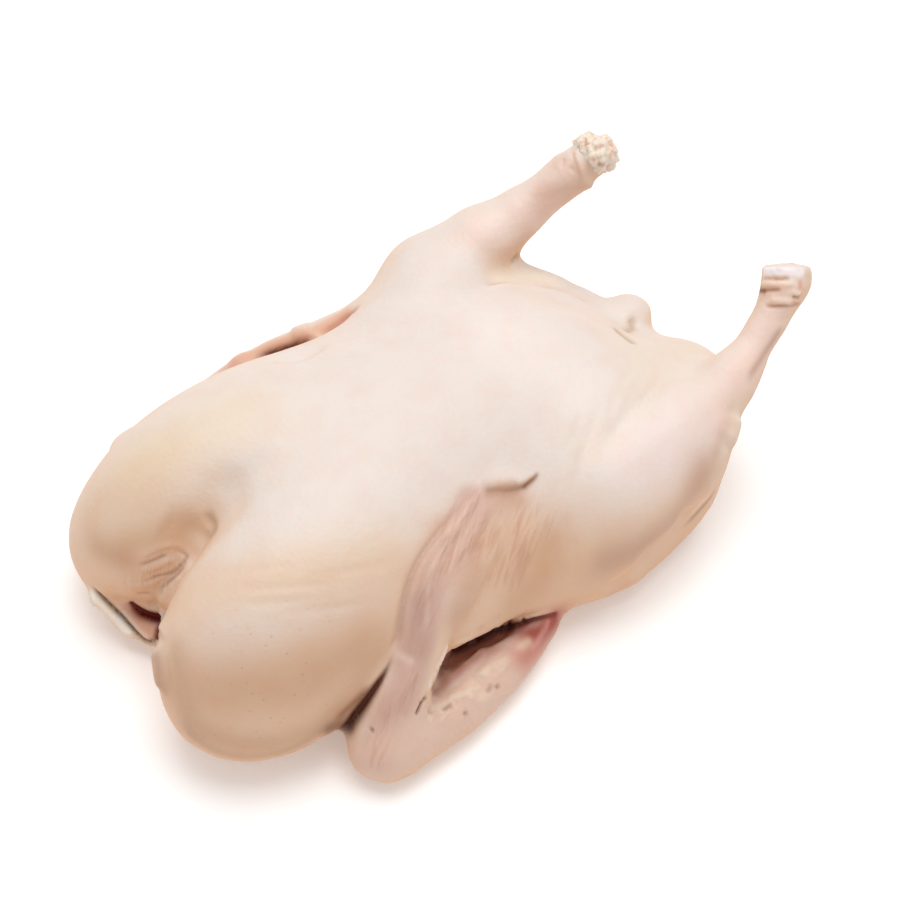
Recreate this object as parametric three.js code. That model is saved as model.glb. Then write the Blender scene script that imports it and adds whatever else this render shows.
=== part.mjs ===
// A whole raw duck, plucked and drawn, head and feet off, lying on its back.
//
// Frame: millimetres, +Z up from the table, X along the back from the neck end (-X) to the tail (+X),
// +Y the side away from the viewer. The duck is one piece of meat in one skin, so it is one solid.
// Each part of the bird is a distance function: a number for how far a point lies outside it. Parts are
// melted together by a smooth minimum, as flesh under skin is, and creases are pressed in afterwards.
// The skin is then drawn where the distance is zero.

import * as THREE from 'three';

// ---------------------------------------------------------------- driving dimensions

const BODY_HEIGHT = 109; // table to the top of the breast
const BODY_WIDTH = 144; // across the middle of the body, without thighs and wings
const BODY_FRONT = -89; // neck end of the body between the two breast lobes
const BODY_REAR = 152; // end of the belly

// ---------------------------------------------------------------- distance functions

const lerp = (a, b, t) => a + (b - a) * t;
const gauss = (r, width) => Math.exp(-((r / width) ** 2));

// The nearer of two distances, with the corner between them filled over a width of k.
function melt(a, b, k) {
  const h = Math.max(k - Math.abs(a - b), 0) / k;
  return Math.min(a, b) - (h * h * k) / 4;
}

// Distance to an egg of muscle: centre, three radii and a turn in degrees about X, Y and Z.
function lobe(at, radii, turn = [0, 0, 0]) {
  const euler = new THREE.Euler(...turn.map(THREE.MathUtils.degToRad));
  const e = new THREE.Matrix4().makeRotationFromEuler(euler).transpose().elements;
  const [a, b, c] = radii;
  const least = Math.min(a, b, c);
  return (x, y, z) => {
    const dx = x - at[0];
    const dy = y - at[1];
    const dz = z - at[2];
    const u = (e[0] * dx + e[4] * dy + e[8] * dz) / a;
    const v = (e[1] * dx + e[5] * dy + e[9] * dz) / b;
    const w = (e[2] * dx + e[6] * dy + e[10] * dz) / c;
    const near = Math.hypot(u, v, w);
    const slope = Math.hypot(u / a, v / b, w / c);
    return slope < 1e-9 ? -least : (near * (near - 1)) / slope;
  };
}

// A smooth line through points, as short straight steps.
function lineThrough(points, stepsPerSpan = 5) {
  const curve = new THREE.CatmullRomCurve3(points.map((p) => new THREE.Vector3(...p)));
  const count = (points.length - 1) * stepsPerSpan;
  return Array.from({ length: count + 1 }, (_, i) => curve.getPoint(i / count));
}

// Nearest place on a stepped line: distance away, and how far along it is, from 0 to 1.
function nearestOn(line, x, y, z, out) {
  out.away = Infinity;
  for (let i = 0; i + 1 < line.length; i++) {
    const a = line[i];
    const b = line[i + 1];
    const ex = b.x - a.x;
    const ey = b.y - a.y;
    const ez = b.z - a.z;
    const along = ((x - a.x) * ex + (y - a.y) * ey + (z - a.z) * ez) / (ex * ex + ey * ey + ez * ez);
    const t = Math.min(1, Math.max(0, along));
    const ox = x - a.x - ex * t;
    const oy = y - a.y - ey * t;
    const oz = z - a.z - ez * t;
    const away = Math.sqrt(ox * ox + oy * oy + oz * oz);
    if (away < out.away) Object.assign(out, { away, ox, oy, oz, ex, ey, ez, at: (i + t) / (line.length - 1) });
  }
  return out;
}

// Distance to a limb: stations of [x, y, z, half width, half thickness] joined by a smooth line.
// The limb lies flat against the face whose outward direction is given.
function limb(stations, face = [0, 0, 1]) {
  const line = lineThrough(stations.map((s) => s.slice(0, 3)));
  const out = {};
  return (x, y, z) => {
    const n = nearestOn(line, x, y, z, out);
    const place = Math.min(n.at * (stations.length - 1), stations.length - 1.000001);
    const s = stations[Math.floor(place)];
    const next = stations[Math.floor(place) + 1];
    const ease = THREE.MathUtils.smoothstep(place % 1, 0, 1);
    const wide = lerp(s[3], next[3], ease);
    const thick = lerp(s[4], next[4], ease);
    const long = Math.hypot(n.ex, n.ey, n.ez);
    const [tx, ty, tz] = [n.ex / long, n.ey / long, n.ez / long];
    // the thickness runs along the face's outward direction, square to the limb
    const lean = face[0] * tx + face[1] * ty + face[2] * tz;
    let [ux, uy, uz] = [face[0] - lean * tx, face[1] - lean * ty, face[2] - lean * tz];
    const size = Math.hypot(ux, uy, uz);
    [ux, uy, uz] = [ux / size, uy / size, uz / size];
    const l = n.ox * tx + n.oy * ty + n.oz * tz;
    const h = n.ox * ux + n.oy * uy + n.oz * uz;
    const w = Math.sqrt(Math.max(n.away * n.away - l * l - h * h, 0));
    const near = Math.hypot(w / wide, h / thick, l / wide);
    const slope = Math.hypot(w / wide ** 2, h / thick ** 2, l / wide ** 2);
    return slope < 1e-9 ? -Math.min(wide, thick) : (near * (near - 1)) / slope;
  };
}

// How hard a crease presses at a point: a named depth and width along a smooth line on the skin.
function crease(points, depth, width) {
  const line = lineThrough(points);
  const out = {};
  return (x, y, z) => depth * gauss(nearestOn(line, x, y, z, out).away, width);
}

// ---------------------------------------------------------------- the bird's parts

const halfWidth = BODY_WIDTH / 2;

const trunk = [
  lobe([BODY_FRONT + 87, 0, 50], [87, halfWidth, BODY_HEIGHT - 50]), // breast
  lobe([30, 0, 26], [112, halfWidth - 6, 34]), // back
  lobe([BODY_REAR - 72, -4, 52], [72, 60, 45]), // belly
];
const breastFront = [
  [lobe([-42, -33, 49], [76, 46, 56], [0, 0, 3]), lobe([-72, -42, 31], [51, 39, 33], [0, 0, 10])],
  [lobe([-40, 36, 49], [76, 45, 55], [0, 0, -5]), lobe([-69, 44, 28], [46, 38, 31], [0, 0, -20])],
];
const thighs = [
  lobe([100, -56, 43], [62, 41, 42], [0, 0, -4]),
  lobe([98, -58, 26], [62, 38, 30], [0, 0, 0]),
  lobe([81, 55, 54], [50, 28, 41], [0, -8, -4]),
  lobe([140, -36, 46], [50, 34, 30]), // rump beside the near leg
  lobe([16, -50, 30], [66, 37, 37]), // flank above the near forearm
  lobe([20, 48, 32], [60, 34, 38]), // flank above the far forearm
  lobe([0, 84, 28], [44, 13, 24]), // skin between the bones of the far wing
];

const nearLeg = limb([
  [100, -62, 48, 34, 34],
  [140, -62, 60, 26, 26],
  [169, -59.5, 71, 14, 14],
  [191.5, -53.5, 82, 9, 9],
  [205, -49, 91, 9.5, 9.5],
  [213.5, -45, 101, 12.3, 12.3],
]);
const farLeg = limb([
  [94, 64, 72, 28, 28],
  [118, 64, 87, 19, 19],
  [137, 61, 98, 13, 13],
  [150, 58, 107, 10.5, 10.5],
  [161, 55, 116, 11, 11],
  [172, 51.5, 125, 13.5, 13.5],
]);
const tail = limb([
  [120, 2, 44, 34, 26],
  [146, 4, 54, 22, 16],
  [165, 5, 60, 12, 11],
]);
const tailWeb = limb([[118, 54, 76, 12, 8], [138, 38, 70, 10, 7], [150, 22, 64, 10, 7], [158, 8, 58, 8, 6]], [0.6, 0, 0.8]);

const nearWing = [
  limb([[-49, -97, 16, 17, 14], [-38, -91, 34, 14, 11], [-21, -84, 54, 11, 8], [-6, -77, 67, 10, 7],
    [8, -71, 75, 9, 7], [26, -63, 82, 9, 6], [42, -57, 85, 7, 5]], [0, -0.8, 0.6]),
  limb([[-49, -97, 15, 17, 14], [-20, -98, 13, 15, 13], [14, -94, 12, 13, 11], [44, -84, 12, 11, 11]]),
];
const farWing = [
  limb([[-57, 94, 22, 15, 13], [-38, 91, 31, 12, 10], [-8, 92, 43, 10, 8], [16, 88, 51, 10, 8],
    [38, 82, 58, 9, 7], [58, 76, 68, 5, 5]], [0, 0.8, 0.6]),
  limb([[-57, 94, 18, 15, 13], [-24, 96, 13, 16, 13], [14, 92, 12, 15, 12], [46, 83, 12, 13, 12]]),
];

const neckFlap = limb([[-91, 62, 14, 14, 8], [-99, 42, 15, 13, 8], [-101, 21, 16, 12, 7], [-97, 6, 18, 11, 7]], [-0.6, 0, 0.8]);

// The hollow under the edge of the near flank, above the forearm.
const hollow = limb([[-20, -86, 30, 6, 6], [0, -84, 29, 8, 7], [24, -84, 25, 8, 7], [52, -88, 19, 6, 5]]);

const creases = [
  crease([[-64, 4, 92], [-76, 4, 80], [-88, 3, 64], [-98, 3, 46], [-100, 6, 30]], 7, 12), // between the breasts
  crease([[-110, 20, 30], [-104, 14, 27], [-98, 9, 25]], 8, 7), // slit of the neck
  crease([[-38, -84, 50], [-50, -86, 38], [-60, -88, 28], [-66, -84, 14]], 5, 6), // breast from near wing
  crease([[-20, 82, 56], [6, 79, 58], [28, 75, 62], [46, 70, 69]], 6, 8), // flank from far wing
  crease([[91, -61, 87], [107, -59, 87], [126, -53, 85], [155, -47, 79]], 2.5, 8), // thigh from belly
  crease([[113, 45, 92], [131, 40, 80], [143, 29, 74], [151, 16, 70], [157, -2, 66]], 3, 6), // vent
];

const blend = (parts, k) => (x, y, z) => parts.map((part) => part(x, y, z)).reduce((a, b) => melt(a, b, k));
const wholeTrunk = blend(trunk, 40);
const wholeFront = blend(breastFront.map((side) => blend(side, 20)), 12);
const wholeThighs = blend(thighs, 20);
const wholeWings = [blend(nearWing, 6), blend(farWing, 6)];

// The near foot is cut off a little aslant.
const hockCut = (x, y, z) => (x - 219) * 0.4 + (y + 44) * 0.58 + (z - 104.5) * 0.71;

function duck(x, y, z) {
  let d = melt(wholeTrunk(x, y, z), wholeFront(x, y, z), 24);
  d = melt(d, wholeThighs(x, y, z), 20);
  d = melt(d, Math.max(nearLeg(x, y, z), hockCut(x, y, z)), 10);
  d = melt(d, farLeg(x, y, z), 12);
  d = melt(d, tail(x, y, z), 8);
  d = melt(d, tailWeb(x, y, z), 6);
  for (const c of creases) d += c(x, y, z);
  d = -melt(-d, hollow(x, y, z), 5);
  d = melt(d, neckFlap(x, y, z), 3);
  for (const wing of wholeWings) d = melt(d, wing(x, y, z), 7);
  return d;
}

// ---------------------------------------------------------------- drawing the skin

// Grid lines along one axis, from stops of [place, cell size there].
function gridLines(stops) {
  const lines = [stops[0][0]];
  while (lines[lines.length - 1] < stops[stops.length - 1][0]) {
    const here = lines[lines.length - 1];
    const i = stops.findIndex((s, n) => n + 1 < stops.length && here < stops[n + 1][0]);
    const [[a, sizeA], [b, sizeB]] = [stops[i], stops[i + 1]];
    lines.push(here + lerp(sizeA, sizeB, (here - a) / (b - a)));
  }
  return lines;
}

// A cell's eight corners, numbered by their bits for x, y and z, its twelve edges and its six faces.
const CORNERS = [0, 1, 2, 3, 4, 5, 6, 7].map((n) => [n & 1, (n >> 1) & 1, n >> 2]);
const EDGES = CORNERS.flatMap((c, n) => [1, 2, 4].filter((bit) => !(n & bit)).map((bit) => [n, n | bit]));
const FACES = [1, 2, 4].flatMap((bit) => [0, bit].map((side) => [0, 1, 2, 3, 4, 5, 6, 7].filter((n) => (n & bit) === side)));

// For each pattern of corners inside, the sheet of skin that cuts each edge. Two edges of one face are cut
// by the same sheet, and on a face cut four times each sheet goes round one corner that lies inside.
const SHEETS = Array.from({ length: 256 }, (_, pattern) => {
  const inside = (corner) => (pattern >> corner) & 1;
  const sheet = EDGES.map((_, n) => n);
  for (const face of FACES) {
    const cut = sheet.map((_, n) => n).filter((n) => {
      const [a, b] = EDGES[n];
      return face.includes(a) && face.includes(b) && inside(a) !== inside(b);
    });
    const innerEnd = (n) => EDGES[n].find(inside);
    for (const a of cut)
      for (const b of cut)
        if (cut.length === 2 || innerEnd(a) === innerEnd(b)) {
          const [from, to] = [sheet[b], sheet[a]];
          sheet.forEach((s, n) => {
            if (s === from) sheet[n] = to;
          });
        }
  }
  return sheet;
});

// The surface where field is zero: one point for each sheet of it in a grid cell, at the middle of the
// places where it cuts that cell's edges, and one four-sided face across each grid edge that it cuts.
function skinOf(field, [xs, ys, zs]) {
  const [nx, ny, nz] = [xs.length, ys.length, zs.length];
  const at = (i, j, k) => i + nx * (j + ny * k);
  const value = new Float32Array(nx * ny * nz);
  for (let k = 0; k < nz; k++)
    for (let j = 0; j < ny; j++) for (let i = 0; i < nx; i++) value[at(i, j, k)] = field(xs[i], ys[j], zs[k]);

  const pointOf = new Map();
  const position = [];

  // The point in cell i, j, k of the sheet that cuts the cell's edge between corners a and b.
  function cellPoint(i, j, k, a, b) {
    const corner = CORNERS.map(([x, y, z]) => value[at(i + x, j + y, k + z)]);
    const sheet = SHEETS[corner.reduce((bits, v, n) => bits | ((v < 0) << n), 0)];
    const mine = sheet[EDGES.findIndex(([c, d]) => c === a && d === b)];
    const key = at(i, j, k) * 12 + mine;
    if (pointOf.has(key)) return pointOf.get(key);
    const p = new THREE.Vector3();
    let cuts = 0;
    EDGES.forEach(([c, d], n) => {
      if (corner[c] < 0 === corner[d] < 0 || sheet[n] !== mine) return;
      const t = corner[c] / (corner[c] - corner[d]);
      p.x += lerp(xs[i + CORNERS[c][0]], xs[i + CORNERS[d][0]], t);
      p.y += lerp(ys[j + CORNERS[c][1]], ys[j + CORNERS[d][1]], t);
      p.z += lerp(zs[k + CORNERS[c][2]], zs[k + CORNERS[d][2]], t);
      cuts++;
    });
    p.divideScalar(cuts);
    position.push(p.x, p.y, p.z);
    pointOf.set(key, position.length / 3 - 1);
    return position.length / 3 - 1;
  }

  // The face across the grid edge from corner i, j, k one step along axis, if the surface cuts it.
  const index = [];
  function faceAcross(i, j, k, axis) {
    const step = [0, 0, 0];
    step[axis] = 1;
    const inside = value[at(i, j, k)] < 0;
    if (inside === value[at(i + step[0], j + step[1], k + step[2])] < 0) return;
    const [second, third] = [(axis + 1) % 3, (axis + 2) % 3];
    const loop = [[1, 1], [0, 1], [0, 0], [1, 0]].map(([s, t]) => {
      const back = [0, 0, 0];
      back[second] = s;
      back[third] = t;
      const corner = back[0] | (back[1] << 1) | (back[2] << 2);
      return cellPoint(i - back[0], j - back[1], k - back[2], corner, corner | (1 << axis));
    });
    const [a, b, c, d] = inside ? loop : loop.reverse();
    index.push(a, b, c, a, c, d);
  }
  for (let k = 1; k < nz - 1; k++)
    for (let j = 1; j < ny - 1; j++)
      for (let i = 1; i < nx - 1; i++) for (const axis of [0, 1, 2]) faceAcross(i, j, k, axis);

  return { position, index };
}

// Evens out the points along the skin, then moves each one back onto the place where the field is zero.
function settle(field, { position, index }, rounds) {
  const sum = new Float64Array(position.length);
  const count = new Float64Array(position.length / 3);
  const reach = 0.25;
  for (let round = 0; round < rounds; round++) {
    sum.fill(0);
    count.fill(0);
    for (let n = 0; n < index.length; n++) {
      const next = n % 3 === 2 ? n - 2 : n + 1;
      const [a, b] = [index[n], index[next]];
      for (const axis of [0, 1, 2]) sum[a * 3 + axis] += position[b * 3 + axis];
      count[a]++;
    }
    for (let n = 0; n < count.length; n++) {
      const [x, y, z] = [0, 1, 2].map((axis) => lerp(position[n * 3 + axis], sum[n * 3 + axis] / count[n], 0.5));
      const here = field(x, y, z);
      const slope = [
        (field(x + reach, y, z) - here) / reach,
        (field(x, y + reach, z) - here) / reach,
        (field(x, y, z + reach) - here) / reach,
      ];
      const step = THREE.MathUtils.clamp(here / (slope[0] ** 2 + slope[1] ** 2 + slope[2] ** 2), -2, 2);
      [x, y, z].forEach((value, axis) => {
        position[n * 3 + axis] = value - step * slope[axis];
      });
    }
  }
  for (let n = 2; n < position.length; n += 3) if (Math.abs(position[n]) < 0.3) position[n] = 0;
}

const grid = [
  gridLines([[-135, 6.9], [120, 6.9], [150, 4.8], [236, 4.8]]),
  gridLines([[-130, 6.2], [-90, 6.7], [90, 6.7], [125, 6.2]]),
  gridLines([[-9.3, 6.2], [100, 6.2], [120, 4.8], [150, 4.8]]),
];
const lying = (x, y, z) => Math.max(duck(x, y, z), -z);
const skin = skinOf(lying, grid);
settle(lying, skin, 3);
const geometry = new THREE.BufferGeometry();
geometry.setAttribute('position', new THREE.Float32BufferAttribute(skin.position, 3));
geometry.setIndex(skin.index);
geometry.computeBoundingBox();

const duckMesh = new THREE.Mesh(
  geometry,
  new THREE.MeshStandardMaterial({ color: 0xecd9c8, roughness: 0.55, metalness: 0 }),
);
duckMesh.name = 'duck';

// The origin is under the middle of the whole bird, on the table.
const middle = geometry.boundingBox.getCenter(new THREE.Vector3());
geometry.translate(-middle.x, -middle.y, 0);

const group = new THREE.Group();
group.add(duckMesh);
export default group;
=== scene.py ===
# %% [markdown]
# # A whole raw duck
#
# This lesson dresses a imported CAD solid, a plucked duck lying on its back, until it looks like the real bird.
# The solid already has the muscles, the limbs and the large folds. What is left is what skin adds: creases,
# rolls, frayed edges, follicles, and colour that changes from fat to muscle to bone.
#
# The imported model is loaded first, because everything is made in its place and size. Lengths are in
# millimetres where a name ends in mm, and in metres where Blender reads them.

import math

import bpy
import numpy as np
from mathutils import Matrix, Vector
from mathutils.bvhtree import BVHTree


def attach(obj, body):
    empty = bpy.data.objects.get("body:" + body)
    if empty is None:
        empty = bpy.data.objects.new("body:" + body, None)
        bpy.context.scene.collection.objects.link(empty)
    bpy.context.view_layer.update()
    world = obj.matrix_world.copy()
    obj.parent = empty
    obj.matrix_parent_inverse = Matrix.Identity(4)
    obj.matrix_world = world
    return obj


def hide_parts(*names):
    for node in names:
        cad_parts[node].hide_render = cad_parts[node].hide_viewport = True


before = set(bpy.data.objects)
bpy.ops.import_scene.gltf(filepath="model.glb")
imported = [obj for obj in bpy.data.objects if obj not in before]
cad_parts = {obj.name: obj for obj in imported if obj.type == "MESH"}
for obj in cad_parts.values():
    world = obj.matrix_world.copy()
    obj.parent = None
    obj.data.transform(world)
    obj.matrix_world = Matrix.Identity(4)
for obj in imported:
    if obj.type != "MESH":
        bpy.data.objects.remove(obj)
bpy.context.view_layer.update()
cad_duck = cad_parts["duck"]
mm = 0.001

# %% [markdown]
# ## The camera
#
# The photograph looks down on the breast at about 55 degrees, from the neck end and the bird's right side.
# A camera could be dragged until it looks right, but then nothing could be placed from a pixel of the
# photograph. Here the place, the aim and the focal length are stated, so every pixel stands for one ray.

# %% Place the camera
PHOTO_SIDE = 900
FOCAL_PX = 2200
LENS_AXIS_PX = (352, 497)
AZIMUTH, ELEVATION = -35, 55
DISTANCE_MM = 1000
TARGET_MM = (-50.5, 1.2, 50)
SENSOR_MM = 36
FARTHEST_SEEN_M = 20


def stand_at(azimuth, elevation, distance_mm, target_mm):
    """The place and the right, up and back directions of a level camera that looks at target_mm."""
    a, e = math.radians(azimuth), math.radians(elevation)
    back = Vector((math.sin(a) * math.cos(e), -math.cos(a) * math.cos(e), math.sin(e)))
    right = Vector((math.cos(a), math.sin(a), 0))
    return Vector(target_mm) * mm + back * distance_mm * mm, right, back.cross(right), back


eye, right, up, back = stand_at(AZIMUTH, ELEVATION, DISTANCE_MM, TARGET_MM)


def ray_through(px, py):
    """The direction in which the camera sees a pixel of the photograph."""
    across = (px - LENS_AXIS_PX[0]) / FOCAL_PX
    down = (py - LENS_AXIS_PX[1]) / FOCAL_PX
    return (right * across - up * down - back).normalized()


lens_back = -ray_through(PHOTO_SIDE / 2, PHOTO_SIDE / 2)
lens_right = (right - lens_back * right.dot(lens_back)).normalized()
lens_up = lens_back.cross(lens_right)
camera_data = bpy.data.cameras.new("camera")
camera = bpy.data.objects.new("camera", camera_data)
bpy.context.scene.collection.objects.link(camera)
turned = Matrix((lens_right, lens_up, lens_back)).transposed().to_4x4()
camera.matrix_world = Matrix.Translation(eye) @ turned
camera_data.sensor_width = SENSOR_MM
camera_data.lens = FOCAL_PX * camera_data.sensor_width / PHOTO_SIDE
camera_data.clip_end = FARTHEST_SEEN_M
bpy.context.scene.camera = camera
print("lens", round(camera_data.lens, 1), "mm, eye", [round(v, 3) for v in eye])

# %% [markdown]
# ## A skin to work on
#
# The CAD node has to stay as it was packed, so the work is done on a copy. An imported solid is loose
# triangles, so its doubles are merged first. Two rounds of subdivision round off the facets, and a voxel
# remesh then gives small even faces all over, which take a stroke the same way in every direction.

# %% Copy, round off and remesh
SKIN_FACE_MM = 1.8
DOUBLES_MM = 0.02


def only(obj):
    """Make obj the one selected and active object."""
    bpy.ops.object.select_all(action="DESELECT")
    obj.select_set(True)
    bpy.context.view_layer.objects.active = obj


def finish_modifier(obj, kind, **settings):
    """Add one modifier with its settings and apply it."""
    only(obj)
    modifier = obj.modifiers.new(kind, kind)
    for name, value in settings.items():
        setattr(modifier, name, value)
    bpy.ops.object.modifier_apply(modifier=modifier.name)


def merged_copy(node, name):
    """A copy of a CAD node with a mesh of its own, its doubles merged and its triangles paired."""
    piece = bpy.data.objects.new(name, node.data.copy())
    bpy.context.scene.collection.objects.link(piece)
    piece.data.materials.clear()
    only(piece)
    bpy.ops.object.mode_set(mode="EDIT")
    bpy.ops.mesh.select_all(action="SELECT")
    bpy.ops.mesh.remove_doubles(threshold=DOUBLES_MM * mm)
    bpy.ops.mesh.tris_convert_to_quads()
    bpy.ops.object.mode_set(mode="OBJECT")
    return piece


duck = merged_copy(cad_duck, "duck_skin")
finish_modifier(duck, "SUBSURF", levels=2, render_levels=2)
finish_modifier(duck, "REMESH", mode="VOXEL", voxel_size=SKIN_FACE_MM * mm, use_smooth_shade=True)
finish_modifier(duck, "SMOOTH", factor=0.5, iterations=5)
print("skin faces:", len(duck.data.polygons))

# %% [markdown]
# ## Finding a place by its pixel
#
# A feature of the bird is easiest to name by where it shows in the photograph. A ray from the camera through
# that pixel is followed to the skin, and what it hits is the place in millimetres. So each stroke below
# lies on the bird, seen from any side. Where one form hides behind another, rays through pixels close
# together land far apart. There a place is given in millimetres, and the nearest skin is taken.

# %% Follow a pixel to the skin
class Surface:
    """The points of a piece while they are worked on, and the way from a pixel of the photograph to them."""

    def __init__(self, piece):
        self.piece = piece
        self.co = self.read("vertices", "co")
        self.settle()

    def read(self, of, what):
        """Rows of x, y, z that Blender keeps for the piece's points."""
        values = np.empty(len(self.piece.data.vertices) * 3, np.float32)
        getattr(self.piece.data, of).foreach_get(what, values)
        return values.reshape(-1, 3).astype(float)

    def settle(self):
        """Write the points back, then read the new outward directions and follow rays to the new shape."""
        self.piece.data.vertices.foreach_set("co", self.co.astype(np.float32).ravel())
        self.piece.data.update()
        self.normal = self.read("vertex_normals", "vector")
        self.tree = BVHTree.FromObject(self.piece, bpy.context.evaluated_depsgraph_get())

    def spot(self, *place):
        """The skin that the camera sees at a pixel, or the skin nearest to a place in millimetres."""
        if len(place) == 3:
            return np.array(self.tree.find_nearest(Vector(place) * mm)[0])
        hit = self.tree.ray_cast(eye, ray_through(*place))[0]
        if hit is None:
            print("no skin under pixel", place)
            # The bird is about one metre away, and so is the end of the ray.
            hit = self.tree.find_nearest(eye + ray_through(*place))[0]
        return np.array(hit)


skin = Surface(duck)
print("the cleft's top is at", (skin.spot(215, 515) / mm).round(), "mm")

# %% Draw a line on the skin, and measure how far each point lies from it
# This many widths away, a stroke is too faint to matter.
STROKE_WIDTHS = 3


def along(surface, places, step_mm=2.0):
    """A smooth line on the skin through a row of places, as points a small step apart."""
    corners = np.array([surface.spot(*place) for place in places])
    if len(corners) == 1:
        return corners
    ends = np.vstack([2 * corners[0] - corners[1], corners, 2 * corners[-1] - corners[-2]])
    line = [corners[0]]
    for a, b, c, d in zip(ends, ends[1:], ends[2:], ends[3:]):
        count = max(2, int(np.linalg.norm(c - b) / (step_mm * mm)))
        for t in np.linspace(0, 1, count + 1)[1:]:
            # The Catmull-Rom spline passes through each corner.
            bend = 2 * b + (c - a) * t + (2 * a - 5 * b + 4 * c - d) * t**2 + (3 * b - 3 * c + d - a) * t**3
            line.append(bend / 2)
    return np.array(line)


def reach(surface, line, width_mm):
    """For the points near a line: their numbers, distance, signed side (left is plus) and place along it."""
    cut = width_mm * mm * STROKE_WIDTHS
    near = np.where(((surface.co > line.min(0) - cut) & (surface.co < line.max(0) + cut)).all(1))[0]
    pick, normal = surface.co[near], surface.normal[near]
    away = np.linalg.norm(pick - line[0], axis=1)
    side, place = away.copy(), np.zeros(len(near))
    for i, (a, b) in enumerate(zip(line, line[1:])):
        step = b - a
        t = np.clip((pick - a) @ step / (step @ step), 0, 1)
        off = pick - a - t[:, None] * step
        far = np.linalg.norm(off, axis=1)
        closer = (far < away) | (i == 0)
        left = np.sign(np.einsum("ij,ij->i", np.cross(normal, step), off))
        away, side = np.where(closer, far, away), np.where(closer, far * left, side)
        place = np.where(closer, (i + t) / (len(line) - 1), place)
    return near, away / mm, side / mm, place


print("steps in a line down the cleft:", len(along(skin, [(228, 500), (186, 572)])) - 1)

# %% [markdown]
# ## Small faces where the detail is
#
# Most of the skin is plain, and its faces can stay as they are. Around the wings, the neck end and the hocks
# each face is cut in four, so that a slit one millimetre wide can be pressed in and painted there.

# %% Cut the faces smaller near the detail
DETAIL = [
    ([(476, 496), (440, 560), (414, 620), (395, 690), (372, 735)], 12),  # down the wing's hand
    ([(445, 650), (480, 640), (520, 622), (550, 616)], 8),  # the frayed edge
    ([(420, 720), (450, 700), (490, 675), (530, 645)], 9),  # the forearm
    ([(485, 490), (536, 478)], 5),  # the fold at the wing's upper end
    ([(95, 585), (125, 600), (150, 620), (160, 645)], 8),  # the slit and the flap of neck skin
    ([(130, 575), (160, 565), (185, 560)], 9),  # the puckers
    ([(225, 370), (262, 358), (300, 350), (335, 328), (360, 310)], 8),  # the far wing
    ([(562, 165), (578, 168)], 8),  # the far hock
    ([(772, 280), (798, 282)], 8),  # the near hock's end
    ([(772, 300), (796, 300)], 7),  # the rolls of skin below it
    ([(620, 328), (640, 340)], 5),  # the tail's creases
    ([(486, 284), (545, 286), (588, 302)], 4),  # the belly's rim
]


def cut_finer(surface, lines):
    """Cut in four every face that lies within reach of one of the lines."""
    chosen = np.zeros(len(surface.co), bool)
    for places, reach_mm in lines:
        near, away, _, _ = reach(surface, along(surface, places), reach_mm)
        chosen[near[away < reach_mm]] = True
    mesh = surface.piece.data
    corners = np.empty(len(mesh.loops), np.int32)
    mesh.loops.foreach_get("vertex_index", corners)
    only(surface.piece)
    bpy.ops.object.mode_set(mode="EDIT")
    bpy.ops.mesh.select_mode(type="FACE")
    bpy.ops.mesh.select_all(action="DESELECT")
    bpy.ops.object.mode_set(mode="OBJECT")
    mesh.polygons.foreach_set("select", chosen[corners.reshape(-1, 4)].all(1))
    bpy.ops.object.mode_set(mode="EDIT")
    bpy.ops.mesh.subdivide(number_cuts=1)
    bpy.ops.object.mode_set(mode="OBJECT")
    finish_modifier(surface.piece, "SMOOTH", factor=0.5, iterations=2)


cut_finer(skin, DETAIL)
skin = Surface(duck)
print("skin triangles:", sum(len(face.vertices) - 2 for face in duck.data.polygons))

# %% [markdown]
# ## Working the skin
#
# A sculptor has brushes. Here there are three: one that presses a groove or raises a ridge along a line, one
# that leaves a step, as where one layer of skin ends on another, and one that rubs a patch smooth. The first
# two fade out at their ends, as a real crease does. A groove usually goes straight into the skin, but it can
# also pull a whole fold one way. It gives back the points it touched, so that they can be stained later.
#
# Each call gives the line first, then the depth or height and the width in millimetres. Where there are two
# numbers in brackets, they are for the line's start and its end.

# %% Three brushes
RUB_LEVELS = 10


def fade(place, ends):
    """1 along the middle of a line, easing to 0 over a share of its length at each end."""
    start, end = ends if isinstance(ends, tuple) else (ends, ends)
    t = np.ones_like(place)
    if start:
        t = np.minimum(t, place / start)
    if end:
        t = np.minimum(t, (1 - place) / end)
    return t * t * (3 - 2 * t)


def between(ends, place):
    """A value at each place along a line: one number all along it, or two for its start and its end."""
    start, end = ends if isinstance(ends, tuple) else (ends, ends)
    return start + (end - start) * place


def groove(surface, places, depth_mm, width_mm, ends=0.25, straight=None):
    """Press the skin in along a line, or raise it where the depth is negative.

    Each point moves along its own outward direction. Where straight is True, all move along the mean of
    those, and where it is a direction, all move along that.
    """
    near, away, _, place = reach(surface, along(surface, places), np.max(width_mm))
    share = np.exp(-((away / between(width_mm, place)) ** 2)) * fade(place, ends)
    outward = surface.normal[near]
    if straight is not None:
        outward = (outward * share[:, None]).sum(0) if straight is True else np.array(straight)
        outward = outward / np.linalg.norm(outward)
    surface.co[near] -= outward * (share * between(depth_mm, place) * mm)[:, None]
    return near, share


def ledge(surface, places, height_mm, width_mm, soft_mm=1.0, ends=0.2):
    """Leave a step along a line: the skin to the left of it, seen along the line, stands higher."""
    near, away, side, place = reach(surface, along(surface, places), width_mm)
    over = np.tanh(side / soft_mm)
    lift = height_mm / 2 * over * np.exp(-((away / width_mm) ** 2)) * fade(place, ends)
    surface.co[near] += surface.normal[near] * (lift * mm)[:, None]


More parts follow.
